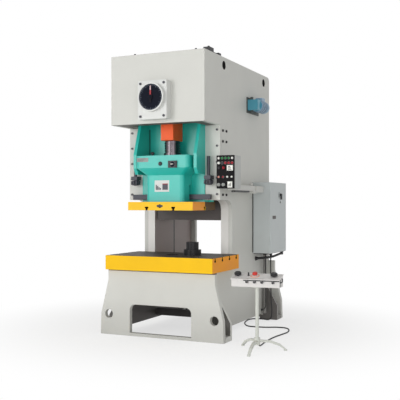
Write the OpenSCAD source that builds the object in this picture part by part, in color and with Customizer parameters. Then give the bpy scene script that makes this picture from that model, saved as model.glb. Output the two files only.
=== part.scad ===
// C-frame power press with a two-hand control stand on a cord.
// Millimetres. Z up from the floor, X to the right, Y to the back.
// The origin is on the floor at the centre of the four foundation bolt holes.

/* [Frame] */
// Width over the two side plates
frame_w = 1220; // [1160:1:1280]
// Height of the frame
frame_h = 3317; // [3280:1:3400]
// Thickness of a side plate
plate_t = 50; // [40:1:60]
// Crown front ahead of the slide axis
crown_over = 415; // [400:1:440]
// Frame back behind the slide axis
frame_back = 1764; // [1740:1:1850]
// Throat depth behind the slide axis
throat = 406; // [404:1:440]
// Front of the guides behind the slide axis
guide_front = 26; // [22:1:32]

/* [Base] */
// Reach of a foot out from the side plate
foot_out = 198; // [180:1:220]
// Diameter of a foundation bolt hole
anchor_d = 48; // [36:1:56]

/* [Bolster] */
// Thickness of the bolster
bolster_t = 170; // [150:1:180]
// Width of a slot's neck
slot_neck = 28; // [22:1:32]
// Diameter of the hole in the middle
bolster_bore = 150; // [120:1:180]

/* [Slide] */
// Thickness of the slide plate
slide_plate_t = 99; // [90:1:105]
// Diameter of the hole for a tool shank
shank_d = 70; // [50:1:80]
// Length of the stroke
stroke = 200; // [190:1:204]

/* [Drive] */
// Radius of the motor pulley
pulley_r = 90; // [80:1:100]

/* [Dial] */
// Width of the dial's housing
dial_w = 370; // [350:1:400]
// Height of the dial's housing
dial_h = 444; // [420:1:460]
// Depth of the dial's housing
dial_d = 105; // [90:1:120]

/* [Cabinet] */
// Depth of the cabinet out from the side plate
cab_out = 245; // [220:1:270]

/* [Control box] */
// Width of the control box
box_w = 227; // [222:1:236]
// Height of the control box
box_h = 385; // [380:1:400]

/* [Stand] */
// Width of the two-hand console
console_w = 527; // [500:1:560]
// Height of the console's underside
console_low = 688; // [660:1:700]
// Slope of the console's top in degrees
console_tilt = 15; // [10:1:20]
// Reach of a leg from the post
leg_r = 310; // [300:1:340]
// Diameter of the cord
cord_d = 16; // [14:1:18]

/* [Hidden] */
$fn = 96;
half = frame_w / 2;
inner = half - plate_t;
front_t = plate_t + 10;
base_y = -crown_over + 82;
gusset_t = plate_t;
foot_d = front_t + gusset_t + 135;
foot_h = plate_t + 8;
foot_half = half + foot_out;
base_half = half + foot_out * 5 / 11;
window_half = half - 206;
pocket = foot_d - front_t - gusset_t;
anchor_front = base_y + front_t + pocket / 2;
anchor_back = frame_back - front_t - pocket / 2;
anchor_x = (half + foot_half) / 2;
shift_y = (anchor_front + anchor_back) / 2;

// Heights that follow the frame's height
crown_low = round(frame_h * 0.754);
guide_low = round(frame_h * 0.4869);
bed_top = round(frame_h * 0.237);
crank_z = round(frame_h * 0.8405);
motor_z = round(frame_h * 0.591);
pump_z = round(frame_h * 0.8562);
cab_low = round(frame_h * 0.2786);
cab_h = round(frame_h * 0.2792);
arm_low = round(frame_h * 0.52186);
window_top = round(bed_top * 0.478);
side_low = foot_h + 22;
flare_low = round(bed_top * 0.318);
flare_top = round(bed_top * 0.84);
corner = 60;
roof_t = plate_t - 10;
floor_t = plate_t - 10;

// The guides and the slide between them
crown_y = -crown_over + plate_t;
cap_t = plate_t;
cap_y = guide_front + cap_t;
gib_back = guide_front + 246;
run = 0.5;
slide_half = half - 191;
guide_half = slide_half + run;
tongue = 26;
tongue_y = guide_front + 94;
tongue_d = 100;
slide_low = guide_low - slide_plate_t - 22;
slide_base = slide_low + slide_plate_t;
slide_top = crown_low + 129;
slide_front = guide_front - 16;
slide_back = gib_back + 28;
slide_plate_w = 2 * slide_half + 12;
slide_h = crown_low - slide_base;
boss_top = slide_base + slide_h * 0.3634;
shelf_z = round(slide_base + slide_h * 0.6013);
mid_low = shelf_z - 146;
mid_half = slide_half - 69;
boss_half = slide_half - 169;
column_x = inner - 100;
column_back = round(throat + (frame_back - throat) * 0.3903);

// The bolster
bolster_w = frame_w + 180;
bolster_d = 2 * (throat - 6);
bolster_z = bed_top + bolster_t;
slot_pitch = bolster_d * 0.265;

// The crank and the rod
crank_r = stroke / 2;
pin_r = 90;
journal_r = 90;
fit = 0.05;
pin_z = crank_z + crank_r;
rod_half = pin_r - 8;
rod_front = guide_front - 176;
rod_back = guide_front + 80;
rod_low = round(slide_base + slide_h * 0.806);
yoke_half = crank_r + pin_r + 50;
yoke_h = pin_r + 70;
web_r = pin_r + 32;
web_t = 50;
screw_r = 88;

// The knock-out bar and its stops
star_r = 59;
stop_y = guide_front - star_r - 4;
bar_front = stop_y - 21;
bar_back = stop_y + 35;
bar_low = slide_base + 27;
bar_h = 63;
bar_lift = 100;
bar_x = slide_half + 98;
stop_x = slide_half + 72;
stop_low = bar_low + bar_h + bar_lift + 9;

// The flywheel and the motor at the back
wheel_r = frame_h - crank_z - 102;
wheel_w = 180;
wheel_y = frame_back - wheel_w - 334;
cover_low = crank_z - wheel_r - 85;
motor_r = 140;
motor_shelf_z = motor_z - motor_r - 10;
motor_back = wheel_y - 60;
motor_front = motor_back - 390;
bearing_t = 90;

// The cabinet and the swing arm
cab_y = frame_back - 656;
cab_back = frame_back - 4;
cab_x = half + cab_out;
cab_d = cab_back - cab_y;
door_t = 20;
door_gap = 0.3;
handle_y = cab_y + round(cab_d * 0.6242);
handle_z = cab_low + round(cab_h * 0.827);
box_d = 190;
box_x = half + 10;
box_y = -100;
box_low = arm_low + 16;
arm_x = half + 125;
arm_y = cab_y - 366;
arm_h = 64;
arm_half = 45;
button_r = 14;
panel_x = [for (k = [29, 71, 113, 155, 197]) k * box_w / 227];
panel_z = [for (k = [351, 296, 239, 135, 45]) k * box_h / 385];
pump_y = round(frame_back * 0.5102);
pump_x = half + 94;
pump_r = 74;
dial_r = dial_w / 2 - 35;
dial_y = -crown_over - dial_d;
dial_low = crank_z - dial_h * 0.56;
face_y = dial_y - 34;

// The stand and the cord
stand_x = half + 665;
stand_y = base_y - 187;
stand_turn = 4.5;
console_h = 88;
console_d = 160;
console_top = console_low + console_h + console_d / 2 * tan(console_tilt);
palm_left_x = console_w * -0.404;
palm_right_x = console_w * 0.355;
stop_at = console_w * -0.042;
hub_z = 110;
leg_turn = [-86, 27, 141];
gland_x = half + 150;
gland_y = frame_back - 364;
gland_h = 44;
cord_z = cord_d / 2 + 1;

// A point of the cord: out from the side plate, share of the way from stand to gland, height
function lay(out, share, z) = [half + out, stand_y + share * (gland_y - stand_y), z];

// The cord runs from the cabinet's gland to the hub of the stand.
cord_path = [
    [gland_x, gland_y, cab_low - gland_h], [gland_x, gland_y, cab_low - 220],
    [gland_x + 6, gland_y + 8, cab_low * 0.45], [gland_x + 22, gland_y + 26, cab_low * 0.18],
    [gland_x + 34, gland_y + 52, 48], [gland_x + 20, gland_y + 84, cord_z],
    [gland_x - 28, gland_y + 90, cord_z], lay(80, 1.031, cord_z), lay(0, 1.039, cord_z),
    lay(-80, 1.031, cord_z), lay(-140, 1, cord_z), lay(-130, 0.912, cord_z), lay(-80, 0.809, cord_z),
    lay(20, 0.721, cord_z), lay(140, 0.711, cord_z), lay(270, 0.721, cord_z),
    lay(400, 0.752, cord_z), lay(520, 0.747, cord_z), lay(595, 0.69, cord_z),
    lay(630, 0.602, cord_z), lay(615, 0.52, cord_z), lay(590, 0.406, cord_z),
    lay(590, 0.277, cord_z), lay(610, 0.163, cord_z), lay(645, 0.07, 30), lay(662, 0.0134, 90)
];
cord_steps = 3;

// Points on an arc
function arc(cx, cy, r, a0, a1, n) =
    [for (i = [0:n]) let (a = a0 + (a1 - a0) * i / n) [cx + r * cos(a), cy + r * sin(a)]];

// A rectangle with round corners
function round_rect(x0, y0, x1, y1, r, n = 6) = concat(
    arc(x1 - r, y1 - r, r, 0, 90, n), arc(x0 + r, y1 - r, r, 90, 180, n),
    arc(x0 + r, y0 + r, r, 180, 270, n), arc(x1 - r, y0 + r, r, 270, 360, n));

// Moves a sub-part from the slide axis to the row's origin
module put() {
    translate([0, -shift_y, 0]) children();
}

// A box from its low corner to its high corner
module block(a, b) {
    translate(a) cube(b - a);
}

// A profile in Y and Z, extruded along X
module along_x(points, x0, x1) {
    translate([x0, 0, 0]) rotate([90, 0, 90]) linear_extrude(x1 - x0) polygon(points);
}

// A profile in X and Z, extruded along Y
module along_y(points, y0, y1) {
    translate([0, y1, 0]) rotate([90, 0, 0]) linear_extrude(y1 - y0) polygon(points);
}

// A profile in X and Y, extruded upwards
module along_z(points, z0, z1) {
    translate([0, 0, z0]) linear_extrude(z1 - z0) polygon(points);
}

// A round bar along Y
module bar_y(x, z, r, y0, y1) {
    translate([x, y0, z]) rotate([-90, 0, 0]) cylinder(r = r, h = y1 - y0);
}

// A round bar along X
module bar_x_axis(y, z, r, x0, x1) {
    translate([x0, y, z]) rotate([0, 90, 0]) cylinder(r = r, h = x1 - x0);
}

// A round bar along Z
module bar_z(x, y, r, z0, z1) {
    translate([x, y, z0]) cylinder(r = r, h = z1 - z0);
}

// The outline of one side plate
side_profile = concat(
    [
        [base_y + front_t, foot_h], [base_y + foot_d, foot_h], [base_y + foot_d, side_low],
        [frame_back - foot_d, side_low], [frame_back - foot_d, foot_h],
        [frame_back - front_t, foot_h], [frame_back - front_t, bed_top], [frame_back, bed_top]
    ],
    arc(frame_back - corner, frame_h - corner, corner, 0, 90, 6),
    [
        [crown_y, frame_h], [crown_y, crown_low], [cap_y, crown_low], [cap_y, guide_low],
        [gib_back, guide_low]
    ],
    arc(throat - 120, guide_low - 130, 120, 70, 0, 6),
    [[throat, bed_top], [base_y + front_t, bed_top]]
);

// One side plate with its two lifting holes
module side_plate(x0, x1) {
    difference() {
        along_x(side_profile, x0, x1);
        bar_x_axis(148, frame_h - 97, 52, x0 - 1, x1 + 1);
        bar_x_axis(frame_back - 228, frame_h - 101, 52, x0 - 1, x1 + 1);
    }
}

module side_plate_left() {
    color([0.75, 0.75, 0.72]) put() side_plate(-half, -inner);
}

module side_plate_right() {
    color([0.75, 0.75, 0.72]) put() side_plate(inner, half);
}

// The front plate of the crown, open for the pointer's shaft
module crown_front_plate() {
    color([0.82, 0.82, 0.8]) put() difference() {
        block([-half, -crown_over, crown_low], [half, crown_y, frame_h]);
        bar_y(0, crank_z, 30, -crown_over - 1, crown_y + 1);
    }
}

// The roof of the crown between the side plates
module crown_roof() {
    color([0.75, 0.75, 0.72]) put()
        block([-inner, crown_y, frame_h - roof_t], [inner, frame_back - corner, frame_h]);
}

front_bearing = crown_over * 0.24;

// The floor of the crown round the slide, with the front bearing's plate on it
module crown_floor() {
    color([0.6, 0.6, 0.58]) put() difference() {
        union() {
            block([-inner, crown_y, crown_low], [inner, crown_y + front_bearing, frame_h - roof_t]);
            block([-inner, crown_y, crown_low], [-slide_half - 13, guide_front, crown_low + floor_t]);
            block([slide_half + 13, crown_y, crown_low], [inner, guide_front, crown_low + floor_t]);
        }
        bar_y(0, crank_z, journal_r - 10 + fit, crown_y - 1, crown_y + front_bearing + 1);
    }
}

// The two plates that carry the crankshaft behind the slide
module bearing_plates() {
    color([0.6, 0.6, 0.58]) put() difference() {
        union() {
            block([-inner, throat, crown_low], [inner, throat + bearing_t, frame_h - roof_t]);
            block([-inner, wheel_y - 60 - bearing_t, crown_low], [inner, wheel_y - 60, frame_h - roof_t]);
        }
        bar_y(0, crank_z, journal_r + fit, throat - 1, wheel_y - 59);
    }
}

// The sheet that closes the back of the crown, with its rows of air slots
module rear_cover() {
    y = frame_back;
    sheet_t = door_t;
    low = cover_low;
    step = wheel_r * 0.1;
    wide = inner * 0.23;
    color([0.72, 0.72, 0.7]) put() difference() {
        along_x([
            [y - sheet_t, low], [y, low], [y, frame_h - corner], [y - corner, frame_h],
            [y - corner, frame_h - 28], [y - sheet_t, frame_h - corner - 8]
        ], -inner, inner);
        for (row = [0:6])
            for (side = [-1, 1])
                block([side * inner * 0.41 - wide, y - sheet_t - 1, low + 170 + row * step],
                    [side * inner * 0.41 + wide, y + 1, low + 182 + row * step]);
    }
}

// The two box columns that join the side plates to the guides
module columns() {
    profile = concat(
        [[column_back, bed_top], [column_back, crown_low], [gib_back, crown_low], [gib_back, guide_low]],
        arc(throat - 120, guide_low - 130, 120, 70, 0, 6), [[throat, bed_top]]);
    color([0.78, 0.78, 0.75]) put() {
        along_x(profile, -inner, -column_x);
        along_x(profile, column_x, inner);
    }
}

// The two posts at the back between the base and the cover
module rear_posts() {
    color([0.75, 0.75, 0.72]) put() for (s = [-1, 1])
        block([s > 0 ? inner - 60 : -inner, frame_back - 60, bed_top],
            [s > 0 ? inner : 60 - inner, frame_back, cover_low]);
}

// The beam between the columns above the throat
module cross_beam() {
    color([0.3, 0.28, 0.28]) put()
        block([-column_x, throat + 44, guide_low - 250], [column_x, column_back - 66, guide_low + 60]);
}

// The bed under the bolster with its scrap hole
module bed_plate() {
    color([0.6, 0.6, 0.58]) put() difference() {
        block([-inner, base_y + front_t, bed_top - 120], [inner, column_back, bed_top]);
        bar_z(0, 0, 130, bed_top - 121, bed_top + 1);
    }
}

// The outline of a base plate with its flared feet
function flare(x, top) = [
    [-x, 0], [x, 0], [x - 8, flare_low], [base_half, flare_top], [base_half, top],
    [-base_half, top], [-base_half, flare_top], [-x + 8, flare_low]];

// The front plate of the base with its window and the two lifting holes
module base_front_plate() {
    window = concat(
        arc(window_half - 70, window_top - 70, 70, 0, 90, 6),
        arc(70 - window_half, window_top - 70, 70, 90, 180, 6),
        [[-window_half, 38], [window_half, 38]]);
    color([0.82, 0.82, 0.8]) put() difference() {
        along_y(flare(foot_half, bed_top), base_y, base_y + front_t);
        along_y(window, base_y - 1, base_y + front_t + 1);
        for (x = [8 - base_half, base_half - 8])
            bar_y(x, flare_low - 2, 53, base_y - 1, base_y + front_t + 1);
    }
}

// The back plate of the base, open in the middle
module base_rear_plate() {
    window = round_rect(-window_half, 60, window_half, bed_top - 146, 60);
    color([0.75, 0.75, 0.72]) put() difference() {
        along_y(flare(foot_half, bed_top), frame_back - front_t, frame_back);
        along_y(window, frame_back - front_t - 1, frame_back + 1);
    }
}

// One foot: a floor plate with a bolt hole and a sloped gusset
module foot(side, y0, y1, gusset_y, hole_y) {
    mirror([side < 0 ? 1 : 0, 0, 0]) {
        difference() {
            block([inner, y0, 0], [foot_half, y1, foot_h]);
            bar_z(anchor_x, hole_y, anchor_d / 2, -1, foot_h + 1);
        }
        along_y([[half, foot_h], [foot_half, foot_h], [foot_half, flare_low - 50], [half, flare_top - 100]],
            gusset_y, gusset_y + gusset_t);
    }
}

module front_feet() {
    y0 = base_y + front_t;
    y1 = base_y + foot_d;
    color([0.75, 0.75, 0.72]) put() {
        foot(-1, y0, y1, y1 - gusset_t, anchor_front);
        foot(1, y0, y1, y1 - gusset_t, anchor_front);
    }
}

module rear_feet() {
    y0 = frame_back - foot_d;
    y1 = frame_back - front_t;
    color([0.75, 0.75, 0.72]) put() {
        foot(-1, y0, y1, y0, anchor_back);
        foot(1, y0, y1, y0, anchor_back);
    }
}

// The bar that ties the side plates near the floor
module base_tie() {
    y = (throat + column_back) / 2 - 51;
    color([0.35, 0.35, 0.35]) put() block([-inner, y, 110], [inner, y + 70, 195]);
}

// One slot with a wide foot, open at the top, along X
module slot_x(y, top, neck, head) {
    block([-bolster_w, y - neck / 2, top - 48], [bolster_w, y + neck / 2, top + 1]);
    block([-bolster_w, y - head / 2, top - 48], [bolster_w, y + head / 2, top - 26]);
}

// The bolster with its four slots and its middle hole
module bolster() {
    color([0.95, 0.78, 0.2]) put() difference() {
        block([-bolster_w / 2, -bolster_d / 2, bed_top], [bolster_w / 2, bolster_d / 2, bolster_z]);
        for (i = [-1.5:1:1.5]) slot_x(i * slot_pitch, bolster_z, slot_neck, slot_neck + 20);
        bar_z(0, 0, bolster_bore / 2, bed_top - 1, bolster_z + 1);
    }
}

// One guide: a cap plate in front and a grooved block behind it
module gib(side) {
    groove = slide_half + tongue + run;
    mirror([side < 0 ? 1 : 0, 0, 0]) difference() {
        union() {
            block([guide_half, guide_front, guide_low], [half, cap_y, crown_low]);
            block([guide_half, cap_y - 0.01, guide_low], [inner, gib_back, crown_low]);
        }
        block([guide_half - 1, tongue_y - run, guide_low - 1],
            [groove, tongue_y + tongue_d + run, crown_low + 1]);
    }
}

module gib_left() {
    color([0.84, 0.84, 0.82]) put() gib(-1);
}

module gib_right() {
    color([0.84, 0.84, 0.82]) put() gib(1);
}

guide_pitch = round((crown_low - guide_low) * 0.2145);

// Screw heads on the guides: five in front of each and three pairs on each side
module gib_bolts() {
    color([0.4, 0.4, 0.42]) put() for (s = [-1, 1]) {
        for (i = [0:4])
            bar_y(s * (half - 36), guide_low + 70 + i * guide_pitch, 14, guide_front - 12, guide_front);
        for (y = [guide_front + 78, guide_front + 186])
            for (z = [guide_low + 62, crown_low - guide_pitch, crown_low - 62])
                bar_x_axis(y, z, 15, s > 0 ? half : -half - 12, s > 0 ? half + 12 : -half);
    }
}

// The dial's housing with its round rim and four screw heads
module dial_plate() {
    w = dial_w / 2;
    top = dial_low + dial_h;
    color([0.9, 0.9, 0.9]) put() difference() {
        union() {
            along_y(round_rect(-w, dial_low, w, top, 16), dial_y, -crown_over);
            bar_y(0, crank_z, dial_r + 14, dial_y - 46, dial_y + 1);
            for (x = [34 - w, w - 34])
                for (z = [dial_low + 34, top - 34]) bar_y(x, z, 14, dial_y - 9, dial_y + 1);
        }
        bar_y(0, crank_z, dial_r, dial_y - 47, face_y);
        bar_y(0, crank_z, 22, face_y - 1, -crown_over + 1);
    }
}

// The air valve and its pipe on the roof's right edge
module air_valve() {
    color([0.15, 0.15, 0.16]) put() {
        block([half - 100, -230, frame_h], [half - 20, -110, frame_h + 58]);
        block([half - 90, 60, frame_h], [half - 30, 130, frame_h + 40]);
        bar_y(half - 60, frame_h + 22, 14, -110, 60);
        bar_z(half - 60, -170, 12, frame_h + 57, frame_h + 78);
        for (x = [-350, half - 160]) bar_z(x, -300, 12, frame_h, frame_h + 34);
    }
}

// The blue pump motor: square pump end, finned barrel and round end bell
module pump_motor() {
    color([0.27, 0.55, 0.65]) put() {
        block([half + 14, pump_y, pump_z - 66], [half + 150, pump_y + 110, pump_z + 66]);
        bar_y(pump_x, pump_z, 74, pump_y + 109, pump_y + 400);
        block([half + 12, pump_y + 130, pump_z - 60], [pump_x, pump_y + 360, pump_z - 30]);
        block([half + 12, pump_y + 130, pump_z + 30], [pump_x, pump_y + 360, pump_z + 60]);
        for (i = [0:9]) bar_y(pump_x, pump_z, 81, pump_y + 130 + i * 24, pump_y + 142 + i * 24);
        block([pump_x - 45, pump_y + 190, pump_z + 60], [pump_x + 45, pump_y + 300, pump_z + 108]);
    }
}

// The plate that holds the pump motor, with its two dark unions
module pump_bracket() {
    color([0.2, 0.22, 0.24]) put() {
        block([half, pump_y - 10, pump_z - 100], [half + 12, pump_y + 410, pump_z + 100]);
        bar_z(half + 50, pump_y + 50, 20, pump_z + 66, pump_z + 104);
        bar_z(half + 50, pump_y + 50, 20, pump_z - 100, pump_z - 66);
        block([half + 11, pump_y + 30, pump_z + 80], [half + 60, pump_y + 70, pump_z + 92]);
        block([half + 11, pump_y + 30, pump_z - 92], [half + 60, pump_y + 70, pump_z - 80]);
    }
}

// The electrical cabinet, open on the door's side, with hinge posts
module cabinet() {
    wall = 6;
    color([0.64, 0.67, 0.68]) put() difference() {
        block([half, cab_y, cab_low], [cab_x - door_t - door_gap, cab_back, cab_low + cab_h]);
        block([half + wall, cab_y + wall, cab_low + wall],
            [cab_x, cab_back - wall, cab_low + cab_h - wall]);
    }
}

// The switch gear on its plate inside the cabinet
module cabinet_gear() {
    x = half + 6;
    color([0.5, 0.52, 0.5]) put() {
        block([x, cab_y + 40, cab_low + 60], [x + 10, cab_back - 30, cab_low + cab_h - 40]);
        for (row = [0:3])
            for (i = [0:5]) {
                y = cab_y + 70 + i * cab_d * 0.135;
                z = cab_low + 130 + row * cab_h * 0.205;
                block([x + 9.5, y, z], [x + 85, y + cab_d * 0.107, z + cab_h * 0.119]);
            }
    }
}

// The conduit from the cabinet down into the frame, and the cord's gland
module conduit() {
    y = gland_y + 75;
    x = half + 40;
    color([0.1, 0.1, 0.11]) put() {
        bar_z(x, y, 22, 108, cab_low);
        translate([x, y, 108]) sphere(r = 25);
        bar_x_axis(y, 108, 22, half, x);
        bar_z(x, y, 30, cab_low - 40, cab_low);
        bar_z(gland_x, gland_y, 20, cab_low - gland_h, cab_low);
        bar_z(half + 90, gland_y + 90, 22, cab_low - 34, cab_low);
    }
}

// The fixed bracket of the swing arm, with its pivot pin
module arm_bracket() {
    color([0.74, 0.75, 0.74]) put() {
        block([half, arm_y + 58, arm_low - 16], [arm_x + 45, cab_y - 46, arm_low + arm_h]);
        block([arm_x - 55, arm_y - 52, arm_low - 31], [arm_x + 45, arm_y + 60, arm_low - 0.5]);
        bar_z(arm_x, arm_y, 20, arm_low - 1, arm_low + arm_h + 36);
    }
}

// Two lugs on the guides that hold the stop screws
module stop_brackets() {
    z = stop_low + 68;
    color([0.2, 0.2, 0.22]) put() for (s = [-1, 1]) difference() {
        block([s * stop_x - 42, stop_y - 42, z], [s * stop_x + 42, guide_front, z + 44]);
        bar_z(s * stop_x, stop_y, 20.4, z - 1, z + 45);
    }
}

// One stop screw: a long thread with a star wheel at its lower end
module stop_screw(side) {
    translate([side * stop_x, stop_y, stop_low]) {
        cylinder(r = 20, h = 340);
        translate([0, 0, 4]) cylinder(r = star_r - 18, h = 60);
        for (a = [0:45:315]) rotate(a) translate([star_r - 14, 0, 12]) cylinder(r = 14, h = 44);
    }
}

module stop_screw_left() {
    color([0.24, 0.24, 0.27]) put() stop_screw(-1);
}

module stop_screw_right() {
    color([0.24, 0.24, 0.27]) put() stop_screw(1);
}

// The main motor on its shelf between the side plates
module main_motor() {
    z = motor_z;
    y = motor_front;
    s = motor_shelf_z;
    color([0.25, 0.45, 0.55]) put() difference() {
        union() {
            block([-inner, column_back, s - 30], [inner, wheel_y - 10, s]);
            block([motor_r * -0.857, y + 30, s - 0.01], [motor_r * 0.857, motor_back - 60, z - 60]);
            bar_y(0, z, motor_r, y, motor_back);
            for (i = [0:10]) bar_y(0, z, motor_r + 8, y + 50 + i * 26, y + 62 + i * 26);
            block([motor_r - 10, y + 100, z - 60], [motor_r + 80, y + 260, z + 60]);
        }
        bar_y(0, z, 24 + fit, motor_back - 50, motor_back + 1);
    }
}

// The motor's pulley and shaft
module motor_pulley() {
    color([0.35, 0.35, 0.37]) put() translate([0, 0, motor_z]) {
        bar_y(0, 0, 24, motor_back - 40, wheel_y + wheel_w);
        grooved(pulley_r, 24);
    }
}

// A wheel with three belt grooves on its rim, bored along Y
module grooved(r, bore) {
    w = wheel_w - 30;
    rim = concat(
        [[bore - 1, 0], [r, 0]],
        [for (i = [0:2]) let (a = groove_at(i))
            each [[r, a - 10], [r - 14, a - 7], [r - 14, a + 7], [r, a + 10]]],
        [[r, w], [bore - 1, w]]);
    translate([0, wheel_y + 15, 0]) rotate([-90, 0, 0]) rotate_extrude() polygon(rim);
}

// The middle of one belt groove from the wheel's front face
function groove_at(i) = (wheel_w - 30) * (0.2134 + 0.28 * i);

// The flywheel on the back end of the crankshaft
module flywheel() {
    color([0.4, 0.4, 0.42]) put() translate([0, 0, crank_z]) difference() {
        grooved(wheel_r, journal_r);
        bar_y(0, 0, journal_r + fit, wheel_y, wheel_y + wheel_w);
        translate([0, wheel_y + 14, 0]) rotate([-90, 0, 0]) difference() {
            cylinder(r = wheel_r - 90, h = 40);
            translate([0, 0, -1]) cylinder(r = journal_r + 70, h = 42);
        }
    }
}

// One belt's outline round both wheels
module belt_outline(extra) {
    hull() {
        translate([0, crank_z]) circle(r = wheel_r - 14 + extra, $fn = 64);
        translate([0, motor_z]) circle(r = pulley_r - 14 + extra, $fn = 32);
    }
}

module v_belts() {
    color([0.08, 0.08, 0.08]) put() for (i = [0:2])
        translate([0, wheel_y + 21 + groove_at(i), 0]) rotate([90, 0, 0]) linear_extrude(12)
            difference() {
                belt_outline(11);
                belt_outline(1);
            }
}

// The crankshaft: front stub and journal, two webs round the pin, long back journal
module crankshaft() {
    z = crank_z;
    color([0.55, 0.56, 0.58]) put() {
        bar_y(0, z, 20, face_y - 4, crown_y + 2);
        bar_y(0, z, journal_r - 10, crown_y + 0.5, rod_front - web_t - 4);
        for (y = [rod_front - web_t - 5, rod_back + 5]) {
            bar_y(0, z, web_r - 2, y, y + web_t);
            bar_y(0, pin_z, web_r, y, y + web_t);
            block([7 - web_r, y, z], [web_r - 7, y + web_t, pin_z]);
        }
        bar_y(0, pin_z, pin_r, rod_front - 6, rod_back + 6);
        bar_y(0, z, journal_r, rod_back + web_t + 4, wheel_y + wheel_w + 20);
        bar_y(0, z, journal_r + 30, wheel_y + wheel_w - 14, wheel_y + wheel_w + 20);
    }
}

// The pointer on the shaft's front end, straight up at the top of the stroke
module dial_pointer() {
    y = face_y - 4;
    tip = crank_z + dial_r - 22;
    color([0.85, 0.2, 0.15]) put() {
        bar_y(0, crank_z, 26, y - 12, y);
        along_y([[-12, crank_z - 60], [12, crank_z - 60], [6, tip], [-6, tip]], y - 8, y - 2);
    }
}

// The slide casting with its boss, wings, guide tongues and knock-out slot
module slide() {
    mid = round_rect(-mid_half, slide_front - 300, mid_half, slide_front + 30, 45, 8);
    boss = round_rect(-boss_half, slide_front - 230, boss_half, slide_front + 30, 50, 8);
    wing_y = slide_front - 225;
    wing_t = 40;
    back_y = rod_back + 10;
    wing = [
        [slide_front - 180, boss_top], [slide_front + 30, boss_top], [slide_front + 30, shelf_z - 1],
        [back_y + 4, shelf_z - 1], [back_y + 4, slide_top], [slide_front - 110, slide_top],
        [slide_front - 110, crown_low], [wing_y, shelf_z + 20], [wing_y, mid_low]];
    color([0.2, 0.7, 0.62]) put() difference() {
        union() {
            block([-slide_half, slide_front, slide_base], [slide_half, slide_back, shelf_z]);
            block([-slide_half, back_y, shelf_z - 1], [slide_half, slide_back, slide_top]);
            block([-slide_half - tongue, tongue_y, slide_base],
                [slide_half + tongue, tongue_y + tongue_d, slide_top]);
            along_z(boss, slide_base, boss_top);
            along_z(mid, mid_low, shelf_z);
            hull() {
                along_z(boss, boss_top - 15, boss_top - 14);
                along_z(mid, mid_low, mid_low + 1);
            }
            along_x(wing, -slide_half, -slide_half + wing_t);
            along_x(wing, slide_half - wing_t, slide_half);
        }
        block([-boss_half - 50, bar_front - 0.5, bar_low - 0.3],
            [boss_half + 50, bar_back + 0.5, bar_low + bar_h + bar_lift + 10]);
        for (s = [-1, 1])
            block([s * slide_half - 60, gib_back, slide_base - 1],
                [s * slide_half + 60, slide_back + 12, slide_top + 1]);
    }
}

// The slide plate with its slots and the hole for a tool shank
module slide_plate() {
    w = slide_plate_w / 2;
    z = slide_low;
    y0 = slide_front - 345;
    y1 = slide_back + 8;
    head = slot_neck + 20;
    color([0.96, 0.77, 0.16]) put() difference() {
        block([-w, y0, z], [w, y1, slide_base]);
        for (x = [-w * 0.412, w * 0.412]) {
            block([x - slot_neck / 2, y0 - 1, z - 1], [x + slot_neck / 2, y1 + 1, z + 42]);
            block([x - head / 2, y0 - 1, z + 22], [x + head / 2, y1 + 1, z + 42]);
        }
        for (x = [-w * 0.753, w * 0.753]) {
            block([x - w * 0.26, -slot_neck / 2, z - 1], [x + w * 0.26, slot_neck / 2, z + 42]);
            block([x - w * 0.26, -head / 2, z + 22], [x + w * 0.26, head / 2, z + 42]);
        }
        bar_z(0, 0, shank_d / 2, z - 1, z + slide_plate_t - 19);
        bar_y(0, z + slide_plate_t / 2, 22, y0 - 1, y0 + 35);
    }
}

// The connecting rod, open round the crank pin
module connecting_rod() {
    color([0.95, 0.42, 0.2]) put() difference() {
        union() {
            block([-rod_half, rod_front, rod_low], [rod_half, rod_back, pin_z - yoke_h + 5]);
            block([-yoke_half, rod_front, pin_z - yoke_h], [yoke_half, rod_back, pin_z + yoke_h]);
        }
        block([42 - yoke_half, rod_front - 1, pin_z - pin_r - 24],
            [yoke_half - 42, rod_back + 1, pin_z + pin_r + 24]);
    }
}

// The adjusting screw and its lock ring between the slide and the rod
module adjusting_screw() {
    step = (rod_low - shelf_z) * 0.16;
    color([0.7, 0.7, 0.72]) put() translate([0, (rod_front + rod_back) / 2 + 16, 0]) {
        bar_z(0, 0, screw_r, shelf_z, rod_low);
        bar_z(0, 0, screw_r + 16, shelf_z, shelf_z + 40);
        for (i = [0:3]) bar_z(0, 0, screw_r + 6, shelf_z + 62 + i * step, shelf_z + 76 + i * step);
    }
}

// The knock-out bar across the slide
module knockout_bar() {
    color([0.25, 0.25, 0.28]) put()
        block([-bar_x, bar_front, bar_low], [bar_x, bar_back, bar_low + bar_h]);
}

// The round stepped block that stands on the bolster
module die_block() {
    color([0.1, 0.1, 0.11]) put() translate([bolster_w * 0.168, bolster_d * 0.075, bolster_z]) {
        cylinder(r = 106, h = 66);
        cylinder(r = 76, h = 156);
    }
}

// The swing arm with its hub
module control_arm() {
    color([0.76, 0.77, 0.76]) put() difference() {
        union() {
            block([arm_x - arm_half, box_y + box_d, arm_low],
                [arm_x + arm_half - 2, arm_y, arm_low + arm_h]);
            bar_z(arm_x, arm_y, 48, arm_low, arm_low + arm_h);
        }
        bar_z(arm_x, arm_y, 20 + fit, arm_low - 1, arm_low + arm_h + 1);
    }
}

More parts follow.
